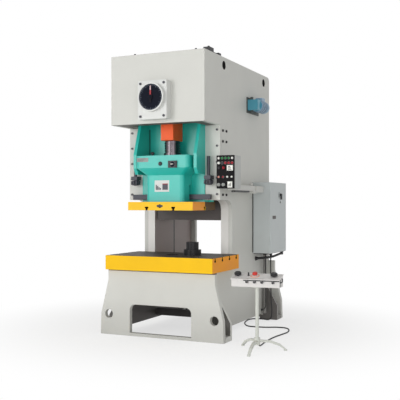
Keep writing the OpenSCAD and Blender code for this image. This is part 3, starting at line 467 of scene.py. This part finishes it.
class Maker:
    """Gathers boxes, turned shapes, rings and tubes into one mesh."""

    # Corner radius of a hexagon and of its chamfered top, as shares of its width
    HEX_CORNER, HEX_TOP = 1 / 1.732, 1 / 1.9
    BOX_FACES = ((0, 1, 3, 2), (4, 6, 7, 5), (0, 4, 5, 1), (2, 3, 7, 6), (0, 2, 6, 4),
                 (1, 5, 7, 3))

    def __init__(self, place=None):
        self.bm = bmesh.new()
        self.place = place

    def spot(self, p):
        if self.place is not None:
            p = self.place @ Vector(p)
        return at(*p)

    def circle(self, middle, u, w, r, sides):
        """A round of vertices in the plane of u and w."""
        made = []
        for k in range(sides):
            a = 2 * math.pi * k / sides
            p = middle + (u * math.cos(a) + w * math.sin(a)) * r
            made.append(self.bm.verts.new(self.spot(p)))
        return made

    def circles(self, start, axis, profile, sides):
        """A round of vertices for each (radius, distance) pair along an axis."""
        axis = Vector(axis).normalized()
        u = axis.orthogonal().normalized()
        w = axis.cross(u)
        start = Vector(start)
        return [self.circle(start + axis * d, u, w, r, sides) for r, d in profile]

    def join(self, rows):
        for a, b in zip(rows, rows[1:]):
            for k in range(len(a)):
                n = (k + 1) % len(a)
                self.bm.faces.new((a[k], a[n], b[n], b[k]))

    def close(self, rows):
        self.bm.faces.new(list(reversed(rows[0])))
        self.bm.faces.new(rows[-1])

    def box(self, lo, hi):
        corners = [(x, y, z) for x in (lo[0], hi[0]) for y in (lo[1], hi[1])
                   for z in (lo[2], hi[2])]
        v = [self.bm.verts.new(self.spot(c)) for c in corners]
        for f in self.BOX_FACES:
            self.bm.faces.new([v[i] for i in f])
        return self

    def lathe(self, start, axis, profile, sides=32):
        """Turns (radius, distance) pairs about an axis through start."""
        rows = self.circles(start, axis, profile, sides)
        self.join(rows)
        self.close(rows)
        return self

    def ring(self, start, axis, r0, r1, height, sides=40):
        """A flat ring from radius r0 to r1."""
        profile = ((r0, 0), (r1, 0), (r1, height), (r0, height))
        rows = self.circles(start, axis, profile, sides)
        self.join([*rows, rows[0]])
        return self

    def hexagon(self, start, axis, across, height):
        """A screw head with a chamfered top."""
        profile = [(across * self.HEX_CORNER, 0), (across * self.HEX_CORNER, height * 0.8),
                   (across * self.HEX_TOP, height)]
        return self.lathe(start, axis, profile, 6)

    def tube(self, points, r, sides=12):
        """A round tube through points."""
        points = [Vector(p) for p in points]
        last = len(points) - 1
        rows = []
        u = None
        for i, p in enumerate(points):
            t = (points[min(i + 1, last)] - points[max(i - 1, 0)]).normalized()
            u = t.orthogonal() if u is None else u - t * u.dot(t)
            u = u.normalized()
            rows.append(self.circle(p, u, t.cross(u), r, sides))
        self.join(rows)
        self.close(rows)
        return self

    def done(self, name, look, body, slot, round_edges=0.0):
        """Makes the object and puts it on its body; slot is not used."""
        bmesh.ops.recalc_face_normals(self.bm, faces=self.bm.faces)
        mesh = bpy.data.meshes.new(name)
        self.bm.to_mesh(mesh)
        self.bm.free()
        mesh.materials.append(look)
        mesh.shade_smooth()
        mesh.set_sharp_from_angle(angle=math.radians(35))
        o = bpy.data.objects.new(name, mesh)
        scene.collection.objects.link(o)
        if round_edges > 0:
            round_off(o, round_edges, 40)
        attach(o, body)
        return o


def curve_through(points, steps):
    """A smooth line through the points."""
    pts = [Vector(p) for p in points]
    last = len(pts) - 1
    line = []
    for i in range(last):
        a, b, c, d = pts[max(i - 1, 0)], pts[i], pts[i + 1], pts[min(i + 2, last)]
        for k in range(steps):
            t = k / steps
            line.append(0.5 * (2 * b + (c - a) * t + (2 * a - 5 * b + 4 * c - d) * t * t
                               + (3 * b - a - 3 * c + d) * t * t * t))
    line.append(pts[last])
    return line


# Thickness of a sheet plate, and of a mark printed on one
SHEET, PRINT = 1.2, 0.6

# The dial
FACE_Y, DIAL_Z = -554, 2788
FACE_T = 1.5
SCALE_R = 142
TICKS = 72
LONG, MIDDLE, SHORT = (120, 1.8), (128, 1.3), (134, 0.9)
DIAL_SCREW = [(14.5, -8), (14.5, 1), (11, 3), (8, 3), (7, 0.8)]
Maker().ring((0, FACE_Y, DIAL_Z), FRONT, 23, 149.5, FACE_T, 72).done(
    "dial_face", dial_black, "frame", "dial_white")
ticks = Maker()
scale_middle = (0, FACE_Y - FACE_T, DIAL_Z)
for i in range(TICKS):
    start_r, half_w = LONG if i % 6 == 0 else MIDDLE if i % 2 == 0 else SHORT
    turn = Matrix.Rotation(math.radians(i * 360 / TICKS), 4, "Y")
    ticks.place = Matrix.Translation(scale_middle) @ turn
    ticks.box((-half_w, -PRINT, start_r), (half_w, 0, SCALE_R))
ticks.place = None
ticks.ring(scale_middle, FRONT, SCALE_R, SCALE_R + 2, PRINT, 72)
ticks.done("dial_scale", faint, "frame", "dial_white")
Maker().lathe((0, FACE_Y - 15, DIAL_Z), FRONT, [(19, 0), (19, 3), (13, 6), (4, 7)], 32).done(
    "dial_hub", dial_black, "crank", "dial_red")
CORNER_X, CORNER_Y = 151, -529
CORNER_LOW, CORNER_TOP = 2573.4, 2949.4
dial_screws = Maker()
for x in (-CORNER_X, CORNER_X):
    for z in (CORNER_LOW, CORNER_TOP):
        dial_screws.lathe((x, CORNER_Y, z), FRONT, DIAL_SCREW, 24)
dial_screws.done("dial_screws", black_steel, "frame", "black_steel")

# Plates on the slide, with generic marks: a tag above, and a chart on the boss
TAG_Y = STEP_Y - SHEET
CHART_Y = BOSS_Y - SHEET
CHART_LOW, CHART_TOP = 1736, 1800
Maker().box((-330, TAG_Y, 2066), (-176, STEP_Y, 2114)).done(
    "slide_tag", grey_plastic, "slide", "grey_plastic", 0.5)
Maker().box((-128, CHART_Y, 1712), (66, BOSS_Y, 1848)).done(
    "slide_plates", dial_white, "slide", "dial_white", 0.6)
chart = Maker().box((-24, CHART_Y - PRINT, CHART_LOW), (48, CHART_Y, CHART_TOP))
for i, high in enumerate((58, 46, 32, 22)):
    x = -112 + i * 18
    chart.box((x, CHART_Y - PRINT, CHART_LOW), (x + 14, CHART_Y, CHART_LOW + high))
for i in range(3):
    z = 2074 + i * 13
    chart.box((-318, TAG_Y - PRINT, z), (-250 + i * 20, TAG_Y, z + 4))
chart.done("slide_chart", black_steel, "slide", "black_steel")

# A small plate with two screws on the slide plate
BOLT_Z = 1545
BOLT_HEAD = [(10, -3), (10, 4), (8, 6), (5.5, 6), (5, 3.5)]
bolt = Maker().box((-38, SLIDE_PLATE_Y - 2, BOLT_Z - 12), (38, SLIDE_PLATE_Y + 2, BOLT_Z + 12))
for x in (-19, 19):
    bolt.lathe((x, SLIDE_PLATE_Y - 1, BOLT_Z), FRONT, BOLT_HEAD, 24)
bolt.done("slide_bolt", black_steel, "slide", "black_steel")

# The gauge on the slide, a plug beside it and an oil cup on the shelf
GAUGE_X, GAUGE_Y, GAUGE_Z = 149, -306, 2031
GLASS_Y = GAUGE_Y - 3
fittings = Maker().box((GAUGE_X - 57, GAUGE_Y, GAUGE_Z - 41),
                       (GAUGE_X + 57, STEP_Y, GAUGE_Z + 41))
PLUG = [(24, 0), (24, 8), (17, 16), (10, 17)]
OIL_CUP = [(12, 0), (12, 18), (22, 22), (24, 34), (16, 42)]
fittings.lathe((-15, STEP_Y, 2041), FRONT, PLUG, 32)
fittings.lathe((-139, -250, 2139), UP, OIL_CUP, 28)
fittings.done("slide_fittings", black, "slide", "black_plastic", 1.5)
gauge_middle = (GAUGE_X, GAUGE_Y, GAUGE_Z)
Maker().lathe(gauge_middle, FRONT, [(34, 0), (34, 2.5), (30, 3)], 40).done(
    "gauge_glass", dial_black, "slide", "dial_white")
Maker().ring(gauge_middle, FRONT, 33, 38, 4, 40).done(
    "gauge_rim", bright, "slide", "machined_steel")
marks = Maker()
for i in range(3):
    x = GAUGE_X - 18 + i * 13
    marks.box((x, GLASS_Y - PRINT, GAUGE_Z - 9 + i * 5), (x + 7, GLASS_Y, GAUGE_Z + 13 - i * 4))
marks.done("gauge_marks", white_plastic, "slide", "white_plastic")

# A red band along the top of the chart, a little prouder than its marks
BAND_T = 0.7
Maker().box((-24, CHART_Y - BAND_T, CHART_TOP), (48, CHART_Y, CHART_TOP + 10)).done(
    "chart_band", red_plastic, "slide", "red_plastic")

# Dark green strips in the inside corners where the slide's wings meet its back: painted shade
WING_X, RECESS_Y = 379, 116
SEAM_LOW, SEAM_TOP = 2141, 2490
corner_shades = Maker()
for s in (-1, 1):
    corner_shades.box((s * WING_X, RECESS_Y - 8, SEAM_LOW), (s * (WING_X - 11), RECESS_Y, SEAM_TOP))
corner_shades.done("slide_corner_shades", green_corner_shade, "slide", "green_paint")

# Flat dark hexagons for the sockets of the guide screws, in front and at the sides: painted
# shade in the socket holes
SCREW_X, SCREW_Y, SCREW_Z, SCREW_PITCH = 574, 14, 1685, 190
SIDE_SCREW_X = HALF + 12
holes = Maker()
for s in (-1, 1):
    for i in range(5):
        holes.lathe((s * SCREW_X, SCREW_Y, SCREW_Z + i * SCREW_PITCH), FRONT,
                    [(8, 0), (8, PRINT)], 6)
    for y in (104, 212):
        for z in (1677, 2311, 2439):
            holes.lathe((s * SIDE_SCREW_X, y, z), (s, 0, 0), [(8.5, 0), (8.5, PRINT)], 6)
holes.done("screw_sockets", dial_black, "frame", "black_steel")

# Lamps, buttons and windows of the control box, from its lower left corner
BOX = Matrix.Translation((620, -100, 1747))
COLUMN_X = (29, 71, 113, 155, 197)
SMALL_X = (29, 83, 137, 191)
KNOB_X = (29, 87)
LAMP_Z, BUTTON_Z, SELECTOR_Z, SMALL_Z, KNOB_Z = 351, 296, 239, 135, 45
LAMP_R, SMALL_R, KNOB_R = 12.8, 10.8, 18.8
LAMP_Y, KNOB_Y = -9, -14
rims = Maker(BOX)
for x in COLUMN_X:
    rims.ring((x, 0, LAMP_Z), FRONT, 13.2, 17, 4)
    rims.ring((x, 0, BUTTON_Z), FRONT, 15, 19, 3)
for x in SMALL_X:
    rims.ring((x, 0, SMALL_Z), FRONT, 11.2, 15, 4)
rims.done("panel_rims", bright, "arm", "machined_steel")


def caps(name, look, slot, columns, z, r, y):
    """Domed caps in one row of the control box."""
    made = Maker(BOX)
    for x in columns:
        made.lathe((x, y, z), FRONT, [(r, 0), (r, 2), (r * 0.75, 4), (r * 0.3, 5)], 28)
    made.done(name, look, "arm", slot)


caps("lamps_white", white_plastic, "white_plastic", COLUMN_X[::4], LAMP_Z, LAMP_R, LAMP_Y)
caps("lamps_green", green_plastic, "white_plastic", COLUMN_X[1:4], LAMP_Z, LAMP_R, LAMP_Y)
caps("small_pale", amber_plastic, "white_plastic", SMALL_X[:1], SMALL_Z, SMALL_R, LAMP_Y)
caps("small_red", red_plastic, "red_plastic", SMALL_X[1:2], SMALL_Z, SMALL_R, LAMP_Y)
caps("small_white", white_plastic, "white_plastic", SMALL_X[2:], SMALL_Z, SMALL_R, LAMP_Y)
caps("knob_caps", grey_plastic, "grey_plastic", KNOB_X, KNOB_Z, KNOB_R, KNOB_Y)

UPPER_Y, LOWER_Y = -4.8, -3.8
windows = Maker(BOX).box((131, UPPER_Y, SELECTOR_Z - 32), (205, -4, SELECTOR_Z + 30))
windows.box((139, LOWER_Y, KNOB_Z - 34), (197, -3, KNOB_Z + 36))
windows.done("panel_windows", white_plastic, "arm", "white_plastic", 0.3)
signs = Maker(BOX)
for i in range(3):
    z = SELECTOR_Z - 22 + i * 16
    signs.box((146, UPPER_Y - PRINT, z), (190 - i * 8, UPPER_Y, z + 8))
    x = 152 + i * 12
    signs.box((x, LOWER_Y - PRINT, KNOB_Z - 22), (x + 6, LOWER_Y, KNOB_Z + 4 + i * 9))
signs.done("panel_signs", black, "arm", "black_plastic")

# A black duct under the swing arm, put there as painted shade under the arm
Maker().box((726, 92, ARM_LOW - 22), (778, 560, ARM_LOW)).done(
    "arm_shade_duct", black, "arm", "black_plastic", 1.5)

# Lock, grip plate and bare plate on the cabinet's door
lock = Maker().lathe((DOOR_X, 1515, 1590), RIGHT, [(14, 0), (14, 3), (6, 5)], 24)
lock.box((DOOR_X, 1455, 1655), (DOOR_X + 2, 1472, 1725))
lock.done("door_lock", black, "door", "black_plastic")
Maker().box((DOOR_X, 1200, 1370), (DOOR_X + SHEET, 1335, 1412)).done(
    "door_plate", shade, "door", "dark_paint", 0.4)

# Black strips: painted shade in the gap between the cabinet and the frame, and under the
# cabinet
shade_strips = Maker().box((HALF + 0.4, 1102, 934), (HALF + 12, 1107.6, 1846))
shade_strips.box((624, 1112, CABINET_LOW - 8), (832, 1756, CABINET_LOW))
shade_strips.done("cabinet_shade_strips", black, "frame", "black_plastic", 0.6)

# Trim of the console on the stand: a black strip under the lid, partly trim and partly painted
# shade under the lid's edge, with a hook at its end, knobs and a collar
STAND = Matrix.Translation((1275, STAND_Y, 0)) @ Matrix.Rotation(math.radians(4.5), 4, "Z")
LID = STAND @ Matrix.Translation((0, 0, 797.44)) @ Matrix.Rotation(math.radians(15), 4, "X")
CONSOLE_W = 527
KNOB_SHARES = (-0.171, -0.011, 0.142, 0.372)
TOGGLE_SHARE, STOP_SHARE = -0.182, -0.042
CONSOLE_KNOB = [(16, -22), (16, -17), (14.6, -16), (14.6, -2), (12, 1), (4, 1.5)]
TOGGLE = [(12, 0), (12, 6), (8.5, 8), (8.5, 34), (5, 37)]
HOOK = [(264, -62, 742), (284, -66, 744), (294, -70, 756), (296, -72, 776), (288, -72, 790)]
strip = Maker(STAND).box((-130, -85, 752), (262, -79, 763.4))
strip.tube(HOOK, 6, 12)
strip.done("console_strip", black, "frame", "black_plastic", 1.0)
Maker(STAND).box((263, -44, 694), (268, -20, 772)).done(
    "console_bracket", grey_plastic, "frame", "grey_plastic", 1.0)
knobs = Maker(STAND)
for share in KNOB_SHARES:
    knobs.lathe((share * CONSOLE_W, -102, 742.6), FRONT, CONSOLE_KNOB, 24)
knobs.place = LID
knobs.lathe((TOGGLE_SHARE * CONSOLE_W, 10, 0), UP, TOGGLE, 24)
knobs.done("console_knobs", black, "frame", "black_plastic")
Maker(LID).box((-252, -80, 0), (90, -75, 0.7)).done(
    "lid_seam", shade, "frame", "dark_paint")
Maker(LID).ring((STOP_SHARE * CONSOLE_W, 0, 0), UP, 36.1, 50, 6, 48).done(
    "stop_collar", collar_paint, "frame", "yellow_paint")

# Cowl on the tail of the pump motor
Maker().lathe((704, 1298, 2840), REAR, [(76, -60), (76, 0), (70, 10), (30, 14)], 40).done(
    "pump_cowl", pale_blue, "frame", "blue_paint")

# A hose from an elbow under the cabinet to a flange on the side plate, and the cord's relief
ELBOW_X, ELBOW_Y, HOSE_Z = 815, 1700, 893
HOSE = [(815, 1690, 893), (814, 1640, 890), (812, 1560, 884), (808, 1470, 876),
        (797, 1390, 868), (760, 1318, 860), (708, 1268, 853), (655, 1240, 849),
        (609, 1228, 847)]
ELBOW = [(24, 0), (24, 10), (20, 12), (20, 44), (14, 50)]
FLANGE = [(30, 0), (30, 6), (22, 8), (22, 26), (18, 28)]
RELIEF = [(15, 0), (14, 8), (11, 34), (9.2, 46)]
Maker().tube(curve_through(HOSE, 8), 15, 16).done(
    "cabinet_hose", rubber, "frame", "black_rubber")
glands = Maker().lathe((ELBOW_X, ELBOW_Y, CABINET_LOW), DOWN, ELBOW, 28)
glands.lathe((ELBOW_X, ELBOW_Y, HOSE_Z), FRONT, [(19, 0), (19, 30), (17, 32)], 28)
glands.lathe((SEAT_X, 1228, 847), RIGHT, FLANGE, 28)
glands.lathe((GLAND_X, GLAND_Y, 881), DOWN, RELIEF, 24)
glands.done("cabinet_glands", black, "frame", "black_plastic")

# A cable beside the conduit, down from the cabinet and into the side plate
CABLE_X, CABLE_Y = 676, 1440
BEND = 66
BEND_TOP = 204
cable = [(CABLE_X, CABLE_Y, CABINET_LOW - 40 * i) for i in range(19)]
for i in range(1, 13):
    a = math.radians(7.5 * i)
    cable.append((CABLE_X - BEND + BEND * math.cos(a), CABLE_Y, BEND_TOP - BEND * math.sin(a)))
Maker().tube(cable, 6, 14).done("conduit_cable", rubber, "frame", "black_rubber")
seats = Maker().lathe((CABLE_X, CABLE_Y, CABINET_LOW), DOWN,
                      [(11, 0), (11, 16), (9, 20), (6.6, 46)], 24)
seats.lathe((SEAT_X, CABLE_Y, BEND_TOP - BEND), RIGHT, [(16, 0), (16, 5), (10, 8), (7, 22)], 24)
seats.done("cable_seats", black, "frame", "black_plastic")

# Screws of the cover at the back
cover = Maker()
for x in (-530, 530):
    for z in (2310, 2545, 2790, 3035, 3270):
        cover.hexagon((x, BACK_Y, z), REAR, 24, 10)
cover.done("cover_screws", steel, "frame", "machined_steel")

# The cord, from the gland under the cabinet over the floor to the hub of the stand
CORD_R = 8
FLOOR_Z = 9


def lay(out, share, z=FLOOR_Z):
    """A point of the cord, out from the side plate and along from the stand to the gland."""
    return (HALF + out, STAND_Y + share * (GLAND_Y - STAND_Y), z)


CORD = [
    (GLAND_X, GLAND_Y, 880), (GLAND_X, GLAND_Y, 704), (763, 1402, 416), (768, 1404, 250),
    (773, 1408, 150), (771, 1410, 92), (757, 1417, 44), (727, 1430, 16), (684, 1449, FLOOR_Z),
    (625, 1466, FLOOR_Z), (565, 1466, FLOOR_Z), (511, 1442, FLOOR_Z), (478, 1392, FLOOR_Z),
    (468, 1310, FLOOR_Z), (484, 1200, FLOOR_Z), lay(-80, 0.809), lay(25, 0.722),
    lay(140, 0.711), lay(270, 0.721), lay(400, 0.752), lay(520, 0.747), lay(595, 0.69),
    lay(630, 0.602), lay(615, 0.52), lay(590, 0.406), lay(590, 0.277), lay(610, 0.163),
    lay(645, 0.07, 30), lay(662, 0.0134, 90),
]
line = [Vector((p.x, p.y, max(p.z, FLOOR_Z))) for p in curve_through(CORD, 6)]
cord = Maker().tube(line, CORD_R, 12).done("stand_cord", rubber, "frame", "black_rubber")
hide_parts("cord")

# Soft edges on the plates and castings
EDGES = {
    "side_plate_left": 4, "side_plate_right": 4, "crown_front_plate": 5, "crown_roof": 3,
    "base_front_plate": 4, "base_rear_plate": 4, "gib_left": 3, "gib_right": 3, "bolster": 3,
    "slide": 5, "slide_plate": 4, "connecting_rod": 5, "knockout_bar": 3, "cabinet": 3,
    "cabinet_door": 3, "control_box": 2, "control_arm": 3, "arm_bracket": 3,
    "stand_console": 3, "columns": 3, "cross_beam": 4, "die_block": 3, "pump_motor": 1.5,
    "stand": 1.5, "air_valve": 3, "stop_brackets": 2,
}
for name, width in EDGES.items():
    o = nodes[name]
    weld = o.modifiers.new("weld", "WELD")
    weld.merge_threshold = 0.00002
    round_off(o, width, 50)
    even = o.modifiers.new("even", "WEIGHTED_NORMAL")
    even.keep_sharp = True


# Floor, light and camera, in metres
FLOOR_R = 26.0
GLOW_NEAR, GLOW_FAR = 1.2, 3.4
GLOW_LOW = 0.66
SKY_LIGHT, SKY_SEEN = 0.46, 1.0
WHITE = (1, 1, 1, 1)
EYE = (3.981, -8.5715, 1.579)
AHEAD = (-0.4183, 0.9083, 0.0)


def seen_directly(tree):
    """One for rays that show the backdrop, so that it is white without lighting the press."""
    ray = tree.nodes.new("ShaderNodeLightPath")
    direct = calc(tree, "MAXIMUM", ray.outputs["Is Camera Ray"], ray.outputs["Is Glossy Ray"])
    return calc(tree, "MAXIMUM", direct, ray.outputs["Is Transmission Ray"])


def stage_floor():
    """A white floor that keeps the shadow and fades into the backdrop."""
    bm = bmesh.new()
    bmesh.ops.create_circle(bm, cap_ends=True, segments=96, radius=FLOOR_R)
    mesh = bpy.data.meshes.new("studio_floor")
    bm.to_mesh(mesh)
    bm.free()
    look = surface("floor_white", tone(251, 251, 250), rough=0.9, vary=0.006, scale=0.6,
                   bump=0.0)
    tree = look.node_tree
    new, link = tree.nodes.new, tree.links.new
    place = new("ShaderNodeTexCoord")
    far = new("ShaderNodeVectorMath")
    far.operation = "LENGTH"
    link(place.outputs["Object"], far.inputs[0])
    fade = new("ShaderNodeMapRange")
    fade.interpolation_type = "SMOOTHSTEP"
    fade.inputs["From Min"].default_value = GLOW_NEAR
    fade.inputs["From Max"].default_value = GLOW_FAR
    fade.inputs["To Min"].default_value = GLOW_LOW
    link(far.outputs["Value"], fade.inputs["Value"])
    glow = new("ShaderNodeEmission")
    glow.inputs["Color"].default_value = WHITE
    blend = new("ShaderNodeMixShader")
    share = calc(tree, "MULTIPLY", fade.outputs["Result"], seen_directly(tree))
    link(share, blend.inputs["Fac"])
    link(tree.nodes["Principled BSDF"].outputs["BSDF"], blend.inputs[1])
    link(glow.outputs["Emission"], blend.inputs[2])
    link(blend.outputs["Shader"], tree.nodes["Material Output"].inputs["Surface"])
    mesh.materials.append(look)
    floor = bpy.data.objects.new("studio_floor", mesh)
    floor.location = (0, 0, -0.0005)
    scene.collection.objects.link(floor)
    floor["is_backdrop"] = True


def aim(o, place, direction):
    """Puts a lamp or camera at a place, looking along a direction."""
    o.location = place
    o.rotation_mode = "QUATERNION"
    o.rotation_quaternion = Vector(direction).to_track_quat("-Z", "Y")
    scene.collection.objects.link(o)


def area(name, place, target, size, power, tall=None):
    """A round area lamp, or an upright one if it is given a height."""
    data = bpy.data.lights.new(name, "AREA")
    data.shape = "DISK" if tall is None else "RECTANGLE"
    data.size = size
    if tall is not None:
        data.size_y = tall
    data.energy = power
    lamp = bpy.data.objects.new(name, data)
    aim(lamp, place, Vector(target) - Vector(place))


stage_floor()
area("key", place=(-4.5, -11.0, 3.4), target=(0, -0.6, 1.6), size=6.0, power=385)
area("fill", place=(6.5, -9.0, 1.2), target=(0, -0.4, 1.2), size=5.0, power=190)
area("strip", place=(2.2, -9.5, 2.2), target=(0, -0.9, 1.8), size=0.35, power=45, tall=2.6)
area("top", place=(0.5, -1.0, 9.0), target=(0, -0.2, 1.0), size=7.0, power=25)

world = bpy.data.worlds.new("studio")
scene.world = world
world.use_nodes = True
tree = world.node_tree
sky = tree.nodes["Background"]
level = tree.nodes.new("ShaderNodeMapRange")
level.inputs["To Min"].default_value = SKY_LIGHT
level.inputs["To Max"].default_value = SKY_SEEN
tree.links.new(seen_directly(tree), level.inputs["Value"])
tree.links.new(level.outputs["Result"], sky.inputs["Strength"])
sky.inputs["Color"].default_value = WHITE

camera = bpy.data.cameras.new("camera")
camera.lens = 65.6
camera.sensor_width = 36.0
camera.shift_y = 0.00775
camera.clip_start = 0.1
camera.clip_end = 200.0
camera.dof.use_dof = False
eye = bpy.data.objects.new("camera", camera)
aim(eye, EYE, AHEAD)
scene.camera = eye

scene.view_settings.view_transform = "Standard"

low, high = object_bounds()
